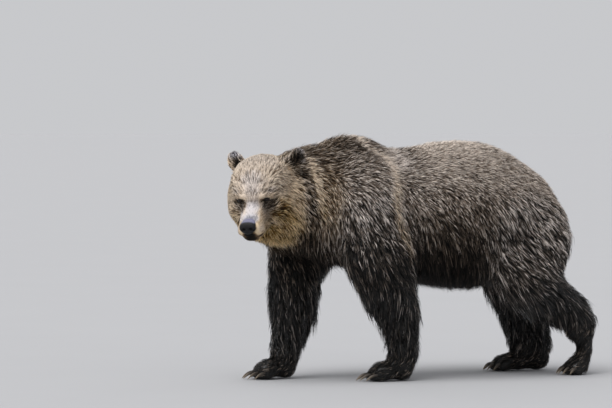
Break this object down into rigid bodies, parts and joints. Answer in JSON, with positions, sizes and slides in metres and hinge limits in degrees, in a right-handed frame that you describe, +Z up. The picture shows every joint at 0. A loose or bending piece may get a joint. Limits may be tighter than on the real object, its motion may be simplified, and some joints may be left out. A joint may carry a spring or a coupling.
{
  "type": "grizzly bear",
  "caption": "Life-size still model of a walking grizzly bear with its head turned to its left, in a thick grizzled coat, standing on its own paws.",
  "frame": {"origin": "on the floor, under the middle of the bear's bounding box", "axes": "+Z up; the trunk lies along Y and the bear walks towards -Y; its left side is +X"},
  "size_m": [0.6486, 1.7888, 1.1056],
  "materials": {
    "pale_fur": "short soft tan to cream fur over the head",
    "brown_fur": "long dense grey-brown fur with silver tips",
    "dark_fur": "wet, nearly black brown fur in pointed locks",
    "nose_skin": "damp black pebbled skin",
    "eye": "glossy dark brown",
    "claw": "smooth horn, dark at the root and pale at the tip"
  },
  "bodies": {
    "root": {"barrel": "brown_fur", "chest": "brown_fur", "claw_front_left_1": "claw", "claw_front_left_2": "claw", "claw_front_left_3": "claw", "claw_front_left_4": "claw", "claw_front_left_5": "claw", "claw_front_right_1": "claw", "claw_front_right_2": "claw", "claw_front_right_3": "claw", "claw_front_right_4": "claw", "claw_front_right_5": "claw", "claw_hind_left_1": "claw", "claw_hind_left_2": "claw", "claw_hind_left_3": "claw", "claw_hind_left_4": "claw", "claw_hind_left_5": "claw", "claw_hind_right_1": "claw", "claw_hind_right_2": "claw", "claw_hind_right_3": "claw", "claw_hind_right_4": "claw", "claw_hind_right_5": "claw", "ear_left": "brown_fur", "ear_right": "brown_fur", "eye_left": "eye", "eye_right": "eye", "front_leg_lower_left": "dark_fur", "front_leg_lower_right": "dark_fur", "front_leg_upper_left": "brown_fur", "front_leg_upper_right": "brown_fur", "front_paw_left": "dark_fur", "front_paw_right": "dark_fur", "head": "pale_fur", "hind_leg_lower_left": "dark_fur", "hind_leg_lower_right": "dark_fur", "hind_leg_upper_left": "brown_fur", "hind_leg_upper_right": "brown_fur", "hind_paw_left": "dark_fur", "hind_paw_right": "dark_fur", "lower_jaw": "pale_fur", "neck": "brown_fur", "nose": "nose_skin", "rump": "brown_fur", "tail": "brown_fur"}
  },
  "joints": []
}
